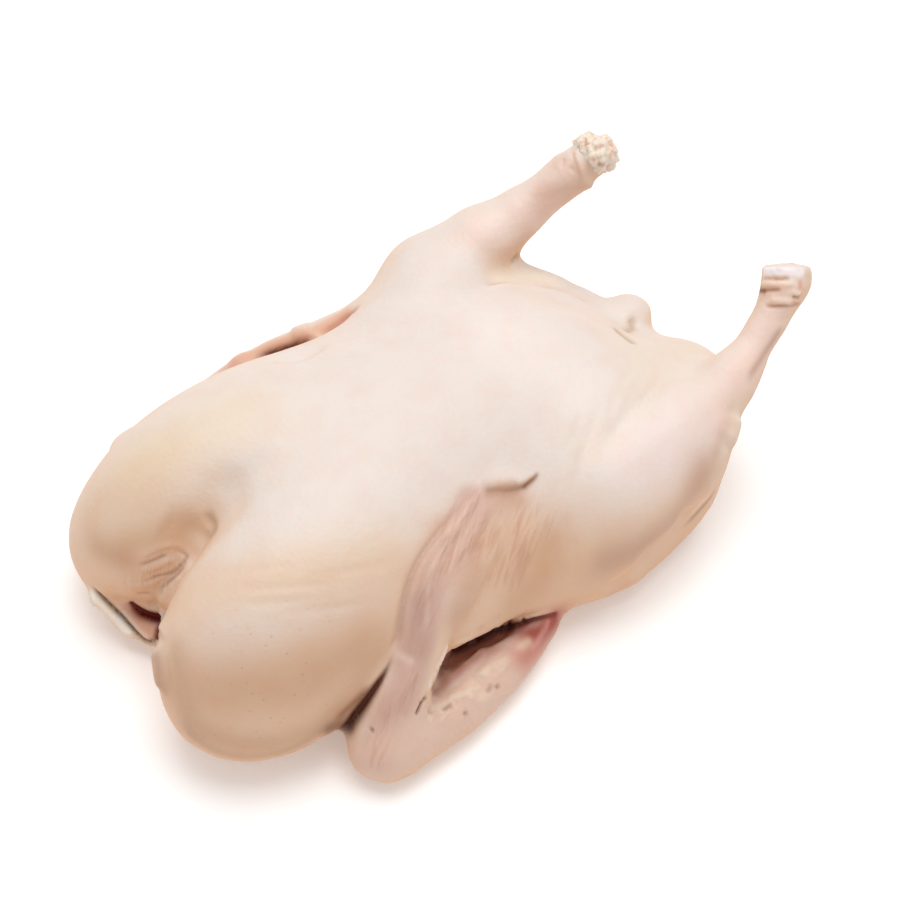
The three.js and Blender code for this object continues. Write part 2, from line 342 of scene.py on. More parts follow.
def rub(surface, places, width_mm, times):
    """Rub the skin smooth around a line."""
    surface.settle()
    group = surface.piece.vertex_groups.new(name="rubbed")
    near, away, _, _ = reach(surface, along(surface, places), width_mm)
    for weight in range(1, RUB_LEVELS + 1):
        chosen = near[np.round(RUB_LEVELS * np.exp(-((away / width_mm) ** 2))) == weight]
        group.add(chosen.tolist(), weight / RUB_LEVELS, "REPLACE")
    finish_modifier(surface.piece, "SMOOTH", factor=0.5, iterations=times, vertex_group="rubbed")
    surface.piece.vertex_groups.remove(surface.piece.vertex_groups["rubbed"])
    surface.co = surface.read("vertices", "co")
    surface.settle()


print("strength of a stroke along its length:", fade(np.linspace(0, 1, 9), 0.25).round(2))

# %% [markdown]
# ## The large folds
#
# On a plucked duck the skin hangs loose over the muscle, so its large folds are soft. The cleft between the
# breast lobes is rubbed smooth before it is pressed, because the solid's coarse facets still show there. The
# flank is slimmed under the thigh. The thigh is parted from the belly, the belly's rim from the web of skin
# behind it, and the far wing from the flank by a deep gap.

# %% Press the cleft, slim the flank and fit the breast to the far wing
CLEFT = [(228, 500), (212, 522), (197, 548), (186, 572)]
CLEFT_FOOT = [(176, 592)]
CLEFT_BANK = [(160, 520), (190, 530), (206, 526)]
FLANK_UPPER = [(704, 508), (686, 536), (658, 562), (628, 584), (604, 596)]
FLANK_MIDDLE = [(716, 488), (704, 510), (684, 536), (660, 556), (632, 574)]
FLANK_OUTLINE = [(722, 478), (713, 503), (692, 531), (660, 560), (630, 581)]
FLANK_RUBBED = [(700, 512), (680, 538), (655, 560), (630, 576)]
BREAST_EDGE = [(270, 362), (285, 358), (300, 354), (314, 347), (323, 342)]
BREAST_RUBBED = [(268, 368), (290, 362), (310, 354), (326, 345)]
FAR_WRIST = [(226, 369), (240, 362), (256, 354)]

rub(skin, CLEFT + CLEFT_FOOT, 9, 60)
groove(skin, CLEFT, (1.0, 2.4), 6)
groove(skin, CLEFT_BANK, 1.5, 8)
groove(skin, FLANK_UPPER, 4.0, 10, ends=0.15)
groove(skin, BREAST_EDGE, 3.2, 6)
groove(skin, FAR_WRIST, -2.4, 6, ends=0.45)
skin.settle()
groove(skin, FLANK_MIDDLE, 3.4, 17, ends=0.2, straight=right - up)
skin.settle()
groove(skin, FLANK_OUTLINE, 4.6, 14, ends=0.5, straight=right - up)
rub(skin, FLANK_RUBBED, 8, 20)
rub(skin, BREAST_RUBBED, 7, 12)
print("points in the skin:", len(skin.co))

# %% Press the folds of the thigh, the belly's rim and the far wing
THIGH_FOLD = [(606, 452), (622, 428), (645, 402), (676, 374)]
NOTCH = [(204, 511), (212, 520), (213, 531), (203, 541)]
BELLY_RIM = [(592, 304), (576, 296), (545, 287), (515, 284), (482, 287)]
FAR_WING_BULGE = [(290, 335), (300, 331), (312, 327)]
FAR_WING_GAP_MM = [(-46, 85, 56), (-35, 82, 58.5), (-25, 78, 61.5), (-17, 75, 64.5)]
FAR_WING_FOLD = [(316, 335), (332, 327), (346, 318), (360, 308)]

groove(skin, THIGH_FOLD, 2.2, 4.5)
ledge(skin, THIGH_FOLD[::-1], 1.2, 8)
skin.settle()
notch = groove(skin, NOTCH, 1.4, 2.2)
ledge(skin, BELLY_RIM, 2.6, 6, soft_mm=0.6)
rim_line = groove(skin, [(x, y - 2) for x, y in BELLY_RIM], 0.8, 1.0)
groove(skin, FAR_WING_BULGE, -2.5, 4.5)
groove(skin, FAR_WING_GAP_MM, 3.0, 2.6, ends=0.3)
far_fold = groove(skin, FAR_WING_FOLD, (1.6, 0.6), 2.0)
skin.settle()
print("the belly's rim is at", (skin.spot(545, 287) / mm).round(), "mm")

# %% [markdown]
# ## The neck end
#
# Where the neck was cut off, a dark slit opens between the lobes. Loose skin is bunched above it in crossing
# puckers. The near lobe's edge hangs over the slit's end. Below the slit a flat flap of neck skin is drawn
# out, with a crease along its root, and more loose skin lies against the near lobe.

# %% Bunch the neck skin into puckers
LOBE_EDGE = [(190, 556), (184, 569), (173, 580), (164, 589), (160, 600), (161, 614), (163, 632), (168, 646)]
PUCKER_RIDGES = [
    [(138, 560), (154, 550), (170, 545), (190, 546)],
    [(138, 571), (154, 568), (170, 561), (180, 558)],
    [(126, 584), (144, 585), (158, 581), (168, 577)],
    [(146, 603), (152, 596), (158, 589)],
    [(187, 567), (182, 582), (172, 596)],
]
PUCKER_GROOVES = [
    [(171, 549), (180, 551), (188, 556), (182, 565), (172, 573), (158, 576), (142, 583)],
    [(189, 562), (181, 571), (172, 579), (163, 587), (160, 596)],
    [(138, 565), (150, 562), (162, 557), (170, 553)],
    [(136, 593), (146, 592), (156, 594)],
]

ledge(skin, LOBE_EDGE, 2.2, 4, soft_mm=0.7, ends=0.15)
for ridge in PUCKER_RIDGES:
    groove(skin, ridge, -0.5, 1.5)
skin.settle()
puckers = [groove(skin, line, 0.55, 0.8) for line in PUCKER_GROOVES]
skin.settle()
print("puckers:", len(puckers))

# %% Open the slit and draw out the flap below it
SLIT = [(131, 600), (138, 606), (146, 613), (154, 617), (161, 619)]
SLIT_END = [(160, 617), (158, 628), (157, 640)]
SLIT_LIP = [(128, 604), (140, 617), (153, 630)]
FLAP = [(92, 583), (109, 600), (122, 613), (134, 626), (144, 636)]
FLAP_RUBBED = [(94, 588), (108, 603), (121, 617), (134, 630)]
FLAP_ROOT = [(91, 583), (98, 590), (105, 597), (112, 604), (119, 611), (126, 618)]
FLAP_ROOT += [(133, 626), (140, 634), (147, 640), (155, 640), (160, 633)]
NECK_SKIN = [(161, 656), (163, 672), (169, 692)]

slit = groove(skin, SLIT, (1.5, 6.0), (0.9, 2.3), ends=0.06, straight=True)
slit_end = groove(skin, SLIT_END, 2.5, 0.9, ends=0.1, straight=True)
groove(skin, SLIT_LIP, -1.4, 2.8)
groove(skin, FLAP, -5.0, 6.0, straight=-right - up)
rub(skin, FLAP_RUBBED, 4, 25)
groove(skin, NECK_SKIN, -3.5, 5.0, ends=(0, 0.3), straight=-right)
skin.settle()
groove(skin, [(x + 7, y) for x, y in NECK_SKIN], 0.8, 1.0)
flap_root = groove(skin, FLAP_ROOT, 1.0, 1.2, ends=0.15)
skin.settle()
print("points pressed into the slit:", len(slit[0]))

# %% [markdown]
# ## The near wing
#
# The wing is folded in a V. Its hand is a flat strip with a thin bone under the skin, and it lies tight
# against the breast, so a groove runs down beside it and opens to a deep gap. A loose sheet of skin joins it
# to the flank: its upper end dives under a fold, and its lower edge is frayed and overhangs a dark hollow.

# %% Lay the wing's hand against the breast
SHEET_BULGE = [(508, 512), (490, 550), (472, 585), (458, 622)]
SHEET_RUBBED = [(512, 520), (500, 560), (478, 612)]
HAND_FRONT = [(462, 506), (442, 530), (423, 556), (411, 580), (404, 606), (399, 636), (392, 656)]
HAND_BONE = [(479, 494), (462, 518), (446, 545), (432, 572), (427, 600), (425, 634)]
HAND_DENT = [(462, 530), (450, 551), (441, 562)]
GAP_FOOT = [(328, 726), (338, 721)]
WING_GAP = [(396, 646), (388, 666), (376, 686), (362, 706), (350, 722), (346, 728)]

groove(skin, SHEET_BULGE, -3.2, 7, ends=0.2)
skin.settle()
rub(skin, SHEET_RUBBED, 9, 80)
groove(skin, HAND_FRONT, (0.6, 2.2), 2.0, ends=0.12)
ledge(skin, HAND_FRONT, 1.0, 5, soft_mm=1.0)
groove(skin, HAND_BONE[:3], -0.6, 2.0)
groove(skin, HAND_BONE[2:], -0.7, 1.8)
groove(skin, HAND_DENT, 0.5, 1.4)
skin.settle()
groove(skin, GAP_FOOT, -3.0, 5.0, ends=0, straight=-up)
skin.settle()
gap = groove(skin, WING_GAP, (0.6, 6.5), (0.5, 2.9), ends=(0.45, 0), straight=True)
skin.settle()
print("points pressed into the gap:", len(gap[0]))

# %% Fold the sheet's upper end under, and hollow the space below its frayed edge
TOP_FOLD = [(480, 491), (494, 489), (508, 489), (522, 486), (530, 481), (537, 474)]
FRAYED_EDGE = [(449, 648), (464, 641), (480, 634), (490, 629), (497, 625)]
FRAYED_EDGE += [(507, 625), (524, 619), (541, 614), (558, 610)]
UNDER_EDGE = [(x + 1, y + 4) for x, y in FRAYED_EDGE]
HOLLOW = [(441, 671), (455, 657), (477, 644), (502, 631), (530, 622)]

ledge(skin, TOP_FOLD, 1.6, 3, soft_mm=0.8, ends=0.25)
fold_line = groove(skin, [(x + 1, y + 2) for x, y in TOP_FOLD], (0.6, 1.4), (3.6, 1.3), ends=0.15)
hollow = groove(skin, HOLLOW, 5.0, (3.6, 2.8), ends=0.2)
skin.settle()
under_edge = groove(skin, UNDER_EDGE, (4.0, 1.5), (2.0, 1.0), ends=0.05, straight=True)
skin.settle()
print("points pressed into the hollow:", len(hollow[0]))

# %% Fray the sheet's edge, and raise the tendon and the hand's thin rear edge
FRAYS = [
    [(497, 619), (498, 628)],
    [(523, 614), (524, 622)],
    [(480, 629), (478, 637)],
    [(510, 620), (509, 627)],
]
TENDON = [(440, 690), (458, 674), (476, 658), (490, 645)]
HAND_BACK = [(448, 643), (440, 662), (432, 680), (425, 695)]
HAND_SLIT = [(426, 695), (420, 706), (416, 716)]

groove(skin, TENDON, -1.8, 2.2)
groove(skin, HAND_BACK, -1.0, 0.9, ends=0.1)
groove(skin, [(x + 4, y + 2) for x, y in HAND_BACK], 1.8, 1.6)
hand_slit = groove(skin, HAND_SLIT, 1.4, 0.8, ends=0.2)
groove(skin, FRAYED_EDGE, -0.7, 1.1, ends=0.1)
for fray in FRAYS:
    groove(skin, fray, 1.2, 0.8, ends=0)
skin.settle()
print("frays:", len(FRAYS))

# %% [markdown]
# The forearm is not smooth like the breast. It has lumps of fat and small pits where quills were pulled, and
# the elbow is bare red muscle.

# %% Lumps and pits on the forearm
LUMPS = [
    (470, 684, 2.6),
    (483, 670, 2.2),
    (500, 661, 2.8),
    (456, 694, 2.0),
    (441, 704, 2.2),
    (484, 696, 2.8),
    (524, 644, 2.6),
]
PITS = [
    [(428, 709), (433, 714)],
    [(441, 711), (447, 707), (454, 703)],
    [(484, 692), (489, 690), (493, 682)],
    [(496, 684), (499, 690)],
    [(369, 731), (373, 727)],
    [(463, 715), (468, 712)],
]
WRIST_CREASE = [(403, 690), (401, 706), (405, 722)]
ELBOW_RIDGE = [(548, 622), (541, 636), (533, 648)]

for x, y, size_mm in LUMPS:
    groove(skin, [(x - 3, y + 2), (x + 4, y - 2)], -0.7, size_mm, ends=0)
pits = [groove(skin, line, 1.0, 1.2, ends=0.3) for line in PITS]
groove(skin, WRIST_CREASE, 0.5, 1.6)
groove(skin, ELBOW_RIDGE, -0.9, 1.4)
skin.settle()
print("lumps:", len(LUMPS), "pits:", len(pits))

# %% [markdown]
# ## The belly, the thigh and the rear
#
# Between the belly and the thigh the skin runs in soft parallel folds, and a few fine ones hang down the
# flank behind the wing. A lump of fat stands on the thigh's outer side. Small creases mark the vent and the
# tail.

# %% Crease the belly, the flank and the tail
BELLY_FOLDS = [
    [(650, 366), (632, 394), (618, 420)],
    [(640, 358), (620, 392), (604, 430)],
    [(604, 398), (590, 430), (581, 462), (575, 500)],
    [(584, 408), (573, 446)],
]
FLANK_FOLDS = [[(566, 512), (567, 535), (566, 562)], [(574, 536), (577, 570)], [(556, 530), (553, 575)]]
TAIL_CREASES = [
    [(615, 325), (622, 332), (630, 338), (640, 345)],
    [(632, 317), (635, 326)],
    [(627, 331), (634, 327), (641, 331)],
]
THIGH_LUMP = [(737, 412), (734, 430), (728, 446)]

for fold in BELLY_FOLDS:
    groove(skin, fold, 0.6, 2.6)
for fold in FLANK_FOLDS:
    groove(skin, fold, 0.5, 1.5)
tail = [groove(skin, crease, 1.2, 1.8) for crease in TAIL_CREASES]
groove(skin, THIGH_LUMP, -3.6, 6.5)
skin.settle()
print("folds on the belly and the flank:", len(BELLY_FOLDS) + len(FLANK_FOLDS))

# %% [markdown]
# ## The hocks
#
# The feet were cut off at the hocks. The near one was cut cleanly: the skin has drawn back from the flat end
# of the bone in two or three thick rolls. The far one was torn, and pale ragged tissue stands out of it.

# %% Square off the near hock
NEAR_HOCK_MM = (168.5, -42.8, 104.5)
CUT_FACES = (0.4, 0.58, 0.71)
CUT_DEPTH_MM = 8


def square_off(surface, centre_mm, faces, size_mm, lift_mm, corner_mm):
    """Lift a cut end out along the way it faces, and sharpen its rim."""
    faces = np.array(faces)
    off = surface.co / mm - np.array(centre_mm)
    t = np.clip(off @ faces / CUT_DEPTH_MM + 1, 0, 1) * (np.linalg.norm(off, axis=1) < size_mm)
    surface.co += faces * (t * t * (3 - 2 * t) * lift_mm * mm)[:, None]
    for _ in range(2):
        surface.settle()
        slant = np.clip(surface.normal @ faces, 0, 1)
        rim = (4 * slant**2 * (1 - slant**2)) * t
        surface.co += surface.normal * (rim * corner_mm / 2 * mm)[:, None]
    surface.settle()


square_off(skin, NEAR_HOCK_MM, CUT_FACES, size_mm=20, lift_mm=2.2, corner_mm=2.4)
print("the skin now reaches", (skin.co.max(0) / mm).round(1), "mm")

# %% Roll the skin back at the near hock
ROLLS = [[(765, 282), (780, 282), (802, 283)], [(794, 290), (804, 292)], [(773, 298), (786, 299), (800, 299)]]
ROLL_GROOVES = [
    [(766, 277), (780, 277), (795, 277)],
    [(763, 289), (772, 289), (786, 288)],
    [(796, 295), (804, 296)],
    [(767, 305), (784, 305), (802, 303)],
]
CREASE_BELOW = [(779, 318), (784, 320), (790, 317)]

for roll in ROLLS:
    groove(skin, roll, -0.9, 1.5, ends=0.1)
skin.settle()
rolled = [groove(skin, line, 1.0, 0.9, ends=0.15) for line in ROLL_GROOVES]
groove(skin, CREASE_BELOW, 0.5, 0.9)
skin.settle()
print("rolls:", len(ROLLS))

# %% Draw in the far hock
FAR_HOCK_MM = (121.5, 52.7, 125)
FAR_HOCK_LIP = [(578, 147), (579, 157), (583, 168), (586, 180)]
FAR_HOCK_KNOB = [(587, 181), (590, 183)]
FAR_HOCK_CREASES = [
    [(572, 146), (577, 157)],
    [(565, 156), (563, 166)],
    [(571, 164), (576, 171)],
    [(578, 158), (581, 175)],
]
FAR_CROTCH = [(518, 255), (516, 259), (513, 264)]
EASED_FROM, EASED_OVER = 0.6, 0.4


def draw_in(surface, centre_mm, size_mm, share):
    """Shrink a knob of the skin towards its centre by a share, easing to nothing at its outside."""
    off = surface.co - np.array(centre_mm) * mm
    away = np.linalg.norm(off, axis=1) / (size_mm * mm)
    keep = 1 - share * (1 - np.clip(away - EASED_FROM, 0, EASED_OVER) / EASED_OVER)
    surface.co = np.array(centre_mm) * mm + off * np.where(away < 1, keep, 1)[:, None]


draw_in(skin, FAR_HOCK_MM, size_mm=17, share=0.42)
skin.settle()
groove(skin, FAR_HOCK_LIP, -1.2, 1.6, ends=0.1)
for crease in FAR_HOCK_CREASES:
    groove(skin, crease, 0.8, 1.0)
groove(skin, FAR_HOCK_KNOB, -2.0, 2.5, ends=0)
groove(skin, FAR_CROTCH, 2.4, 1.6)
skin.settle()
print("the far hock's lip is at", (skin.spot(579, 157) / mm).round(), "mm")

# %% [markdown]
# Last come the finest folds that still have a shape of their own: a few level wrinkles across the near lobe,
# where the skin was drawn towards the wing, and the strip of looser skin down its front edge.

# %% Draw the fine wrinkles of the near lobe
LOBE_WRINKLES = [
    [(196, 574), (250, 570), (320, 562)],
    [(190, 590), (258, 588), (330, 583), (380, 574)],
    [(186, 604), (262, 603), (340, 598)],
    [(300, 577), (350, 571), (404, 560)],
    [(270, 612), (330, 608), (384, 600)],
]
LOBE_FRONT = [(176, 640), (184, 690), (200, 735)]

for wrinkle in LOBE_WRINKLES:
    groove(skin, wrinkle, 0.4, 1.5, ends=0.4)
ledge(skin, LOBE_FRONT, 0.9, 4, soft_mm=0.8)
skin.settle()
print("wrinkles:", len(LOBE_WRINKLES))

# %% [markdown]
# ## Torn tissue at the far hock
#
# What stands out of the far hock is cartilage, tendon and fat in crumbs of 2 to 7 mm. One crumb is a small
# stretched ball. A hundred and eighty are scattered over the end of the bone from a fixed seed, melted into
# one by a fine voxel remesh, and roughened by a noise.

# %% Pile up the crumbs
CRUMB_COUNT = 180
TISSUE_MM = (121.8, 52.7, 126.0)
CORE_RADIUS_MM = 9
SPREAD_MM = (7.5, 11.4)
CRUMB_RADIUS_MM = (1.2, 2.6)
STRETCH = (0.7, 1.4)
FLATTEN = 0.2
FARTHEST_BACK = -0.3
TISSUE_FACE_MM = 0.7
ROUGH_MM = 2.2
ROUGH_HEIGHT_MM = 1.4

rng = np.random.default_rng(7)
hock_out = (skin.spot(600, 150) - skin.spot(560, 175)) / mm
hock_out /= np.linalg.norm(hock_out)
flat = np.array(up)
centre_mm = np.array(TISSUE_MM)
crumbs = []
for _ in range(CRUMB_COUNT):
    aim = rng.normal(size=3)
    aim /= np.linalg.norm(aim)
    if aim @ hock_out < FARTHEST_BACK:
        aim -= 2 * (aim @ hock_out) * hock_out
    aim -= flat * (aim @ flat) * FLATTEN
    place = (centre_mm + aim * rng.uniform(*SPREAD_MM)) * mm
    bpy.ops.object.select_all(action="DESELECT")
    bpy.ops.mesh.primitive_ico_sphere_add(
        subdivisions=2,
        radius=rng.uniform(*CRUMB_RADIUS_MM) * mm,
        location=place,
        rotation=rng.uniform(0, math.pi, 3),
        scale=rng.uniform(*STRETCH, 3),
    )
    crumbs.append(bpy.context.object)
bpy.ops.mesh.primitive_ico_sphere_add(subdivisions=3, radius=CORE_RADIUS_MM * mm, location=centre_mm * mm)
crumbs.append(bpy.context.object)
print("crumbs:", len(crumbs))

# %% Melt the crumbs into one and roughen it
bpy.ops.object.select_all(action="DESELECT")
for crumb in crumbs:
    crumb.select_set(True)
bpy.ops.object.join()
tissue = bpy.context.object
tissue.name = "far_hock_tissue"
bpy.ops.object.transform_apply(location=True, rotation=True, scale=True)
finish_modifier(tissue, "REMESH", mode="VOXEL", voxel_size=TISSUE_FACE_MM * mm, use_smooth_shade=True)
crumb_noise = bpy.data.textures.new("crumb_noise", "CLOUDS")
crumb_noise.noise_scale = ROUGH_MM * mm
finish_modifier(tissue, "DISPLACE", texture=crumb_noise, strength=ROUGH_HEIGHT_MM * mm, mid_level=0.5)
print("faces in the torn tissue:", len(tissue.data.polygons))

# %% [markdown]
# ## Painting the skin's tones and its shade
#
# Under the thin skin lies white fat on the breast and the belly, and little but muscle lower down, where the
# skin turns tan. The ground tone also turns tan wherever the skin faces down, so it is partly that colour and
# partly painted shade. The wings are mauve, because bone and dark muscle show through. The tones are painted
# point by point into a colour attribute, along the same kind of lines as the folds, so they need no picture.
# Many strokes paint shade, not colour: in creases, gaps and hollows, under overhanging folds, along outlines
# that turn away from the light, and a contact shadow under the near lobe. One paints a highlight on the far
# wing. Each row below is one stroke: a colour, its strength, its width and its line. Where they are needed, a
# fade at the ends and a crispness follow.

# %% The ground tones and two ways to paint
def linear(hex_colour):
    """A written sRGB colour as the linear values that Blender mixes."""
    parts = [int(hex_colour[i : i + 2], 16) / 255 for i in (0, 2, 4)]
    return [c / 12.92 if c <= 0.04045 else ((c + 0.055) / 1.055) ** 2.4 for c in parts] + [1.0]


def paint(layer, places, colour, amount, width_mm, ends=0, crisp=2):
    """Lay a colour along a line, faded at its ends. A high value of crisp gives the stroke a hard border."""
    near, away, _, place = reach(skin, along(skin, places), width_mm)
    share = amount * np.exp(-((away / width_mm) ** crisp))
    if ends:
        share = share * fade(place, ends)
    layer[near] += (np.array(colour) - layer[near]) * share[:, None]


def paint_tones(rows):
    """Paint rows of colour, amount, width in millimetres, line and, where needed, ends and crispness."""
    for colour, amount, width_mm, places, *more in rows:
        paint(tone, places, linear(colour), amount, width_mm, *more)


def groove_shade_and_stain(mark, colour, amount, tight=1.0):
    """Lay a colour on the points that a groove touched, most in its middle: painted shade in most grooves, and
    the colour of blood in the slits.
    """
    near, share = mark
    share = np.clip(amount * share**tight, 0, 1)[:, None]
    tone[near] += (np.array(linear(colour)) - tone[near]) * share


FAT = linear("E4D7CE")
MIDDLE = linear("E6C7AE")
TAN = linear("DDB08C")
SLOPES = (-0.1, 0.45, 0.9)

# The ground tone runs from tan where the skin faces down to pale where it faces up: partly the skin's own
# colour, partly painted shade on the sides that face away from the overhead light.
facing_up = skin.normal[:, 2]
tone = np.column_stack([np.interp(facing_up, SLOPES, stops) for stops in zip(TAN, MIDDLE, FAT)])
print("lightest and darkest of the skin:", tone.max(0).round(2), tone.min(0).round(2))

# %% Paint the breast lobes' tones and their painted shade
CREAMY_FAT = [
    ("E4D2BC", 0.45, 14, [(140, 470), (180, 440), (240, 410)]),
    ("E4D2BC", 0.45, 14, [(590, 440), (630, 400), (660, 372)]),
    ("E4D2BC", 0.45, 14, [(700, 350), (640, 350)]),
]
# The far lobe's underside, which faces away from the light, gets tan colour and painted shade.
FAR_LOBE_TAN_AND_SHADE = [
    ("D4AB88", 0.8, 8, [(130, 540), (165, 533), (205, 526)]),
    ("C69471", 0.75, 8, [(100, 545), (122, 556)]),
]
# Tan colour and painted shade on the lobes' lower sides, with cream higher up.
LOBE_TONES_AND_SHADE = [
    ("E2BE9F", 0.55, 13, [(180, 600), (250, 585), (330, 580), (390, 570)]),
    ("CEA07C", 0.7, 17, [(172, 680), (230, 690), (300, 680), (360, 650)]),
    ("C79D7C", 0.6, 8, [(192, 722), (240, 742), (300, 736), (335, 712)]),
    ("C9A285", 0.6, 6, [(178, 650), (184, 690), (194, 726)]),
    ("CFA07A", 0.5, 6, [(180, 540), (192, 549)]),
    ("D8B192", 0.6, 14, [(150, 500), (110, 500), (95, 520)]),
    # A painted contact shadow along the near lobe's bottom.
    ("AF8A6E", 0.4, 4, [(192, 732), (215, 748), (255, 755), (298, 744), (325, 728)]),
    ("DFC2A2", 0.5, 12, [(140, 468), (170, 460)]),
    ("E6CFB0", 0.35, 22, [(110, 500), (160, 450), (230, 420)]),
    ("E6C9A9", 0.35, 14, [(200, 592), (300, 566), (380, 548)]),
]
paint_tones(CREAMY_FAT + FAR_LOBE_TAN_AND_SHADE)
# Painted shade in the notch at the top of the cleft.
groove_shade_and_stain(notch, "A98561", 0.5)
paint_tones(LOBE_TONES_AND_SHADE)
print("mean tone:", tone[:, :3].mean(0).round(3))

# %% Paint the belly and the far leg
BELLY = [
    ("F1E5DF", 0.5, 22, [(500, 330), (570, 380), (640, 430), (690, 420)]),
    ("D9CBC1", 0.5, 6, [(238, 472), (262, 455)]),
    ("F3E6D2", 0.8, 4.5, [(482, 279), (515, 275), (545, 277), (575, 288)], 0.25),
]
FAR_LEG = [
    ("EFD5C8", 0.8, 12, [(480, 230), (520, 215), (560, 180)]),
    ("F2D4C5", 0.7, 6, [(538, 224), (552, 208)]),
    ("E4C3AD", 0.6, 5, [(591, 163), (587, 178)]),
    ("D6B09A", 0.5, 3.4, [(578, 184), (560, 187), (540, 192)]),
    ("DDB6A4", 0.5, 6, [(548, 192), (538, 204)]),
    ("D6B19A", 0.5, 5, [(562, 160), (575, 172)]),
]
paint_tones(BELLY)
# Painted shade in the groove beside the belly's rim.
groove_shade_and_stain(rim_line, "CFA884", 0.7)
paint_tones(FAR_LEG)
print("mean tone:", tone[:, :3].mean(0).round(3))

# %% Paint the near leg, the tail and the flank
NEAR_LEG = [
    ("F4DFD4", 0.5, 8, [(742, 378), (768, 330), (784, 300)]),
    ("E9C6B6", 0.5, 12, [(700, 440), (740, 380), (780, 320)]),
    ("EAD6CE", 0.7, 14, [(640, 470), (700, 430)]),
    # Painted shade in the band beside the fat lump.
    ("D3AF99", 0.55, 4.0, [(742, 396), (727, 432), (712, 466)], 0.2),
    # Painted shade on the thigh's lower side.
    ("C49B82", 0.75, 11, [(610, 562), (650, 544), (684, 510), (704, 476)]),
    ("EACDB4", 0.5, 1.4, [(715, 478), (703, 503), (682, 530)], 0.3),
    # A dark line of painted shade along the thigh's outline, where it turns away from the light.
    ("8A6856", 0.6, 1.8, [(719, 482), (706, 505), (682, 531)], 0.3),
    # Painted shade along the shank's outer edge.
    ("B58E7C", 0.6, 2.0, [(788, 322), (780, 334), (772, 346), (764, 358), (756, 370), (749, 384)], 0.2),
    ("E8D6C2", 0.6, 4, [(738, 412), (735, 430), (728, 448)]),
]
FLANK = [("E3B592", 0.5, 14, [(470, 560), (520, 560), (560, 570)])]
paint_tones(NEAR_LEG)
# Painted shade in the tail's creases.
for crease in tail:
    groove_shade_and_stain(crease, "BBA284", 0.7)
paint_tones(FLANK)
print("mean tone:", tone[:, :3].mean(0).round(3))

# %% Paint the near wing, with painted shade in its gap and under its fold
HAND = [(474, 503), (452, 545), (430, 585), (418, 640), (405, 690), (385, 730), (376, 762)]
WING = [
    ("CFA27E", 0.7, 14, [(545, 545), (540, 575), (520, 600)]),
    ("CFA88F", 0.8, 10, [(494, 512), (476, 560), (458, 615)]),
    ("EBC6AC", 0.7, 8, [(492, 548), (506, 536), (522, 524)]),
    ("D0A083", 0.6, 5, [(505, 496), (520, 500)]),
    ("CFA797", 0.85, 8.5, HAND, 0, 5),
    ("E3C4B0", 0.7, 6.5, HAND[:3], (0.4, 0.3), 3),
    ("BE9A8A", 0.5, 6.0, [(420, 600), (418, 650)], 0, 3),
    ("DFBDAB", 0.9, 13, [(372, 765), (410, 745), (450, 715), (490, 690), (530, 655)], 0, 4),
    ("DDBFB0", 0.6, 1.6, HAND_BONE, 0.1),
    ("DDB49C", 0.5, 5, [(438, 525), (424, 550), (412, 580)]),
    ("F0D6C8", 0.45, 2.0, [(398, 654), (410, 661)]),
    # Painted shade in the groove beside the hand.
    ("B88D76", 0.5, 1.3, HAND_FRONT, 0.2),
]
# Painted shade at the gap's lower end and on the lobe's side of it.
GAP_SHADES = [
    ("7E4E3A", 0.75, 3.5, [(330, 727), (339, 724), (346, 726)]),
    ("9A6248", 0.75, 3.0, [(372, 682), (354, 702), (341, 714)], (0.4, 0)),
]
# Painted shadow under the fold at the wing's upper end.
FOLD_SHADES = [
    ("C09A82", 0.7, 2.8, [(492, 489), (505, 487), (520, 485)], 0.25),
    ("8A5A44", 0.7, 1.0, [(524, 487), (532, 480), (537, 475)]),
]
paint_tones(WING)
# Painted shade deep in the gap between the lobe and the wrist.
groove_shade_and_stain(gap, "63301F", 1.3, 1.1)
paint_tones(GAP_SHADES)
# Painted shadow in the groove under the fold.
groove_shade_and_stain(fold_line, "B9937B", 0.9, 0.6)
paint_tones(FOLD_SHADES)
print("mean tone:", tone[:, :3].mean(0).round(3))

# %% Paint the shade in the hollow, the elbow and the forearm's fat
# Painted shade in the hollow under the frayed edge and along the hand's rear edge, lighter rose-brown towards
# the forearm.
HOLLOW_SHADES = [
    ("D29C8A", 0.7, 3.0, [(446, 678), (462, 668), (482, 656), (504, 644)], 0.2),
    ("7A4030", 0.85, 2.6, [(448, 656), (441, 672), (434, 685), (430, 693)], 0.1),
    ("B07A68", 0.6, 3.0, [(456, 668), (444, 682), (436, 692)]),
    ("5E2A20", 0.8, 2.4, [(x + 1, y + 6) for x, y in FRAYED_EDGE[:5]]),
]
EDGES = [
    # Painted shade along the tendon.
    ("B98475", 0.7, 1.4, TENDON, 0.1),
    ("EED8CC", 0.9, 0.8, HAND_BACK, 0.1, 4),
]
ELBOW = [
    ("C47A6A", 0.8, 8.0, [(526, 656), (542, 640), (554, 620)]),
    ("A4493A", 0.95, 5.0, [(528, 634), (541, 632), (554, 621)]),
    ("DC9C90", 0.6, 1.4, ELBOW_RIDGE),
]
# Painted shade deep in the hollow.
groove_shade_and_stain(hollow, "AE7462", 1.1, 1.1)
paint_tones(HOLLOW_SHADES)
# Painted shadow in the groove under the frayed edge.
groove_shade_and_stain(under_edge, "4A1E16", 1.6, 0.7)
paint_tones(EDGES)
groove_shade_and_stain(hand_slit, "82503E", 1.0)
paint_tones(ELBOW)
paint_tones([("ECD6BC", 0.5, size_mm, [(x - 3, y + 2), (x + 4, y - 2)]) for x, y, size_mm in LUMPS])
for pit in pits:
    groove_shade_and_stain(pit, "8A5A48", 0.45)
print("mean tone:", tone[:, :3].mean(0).round(3))

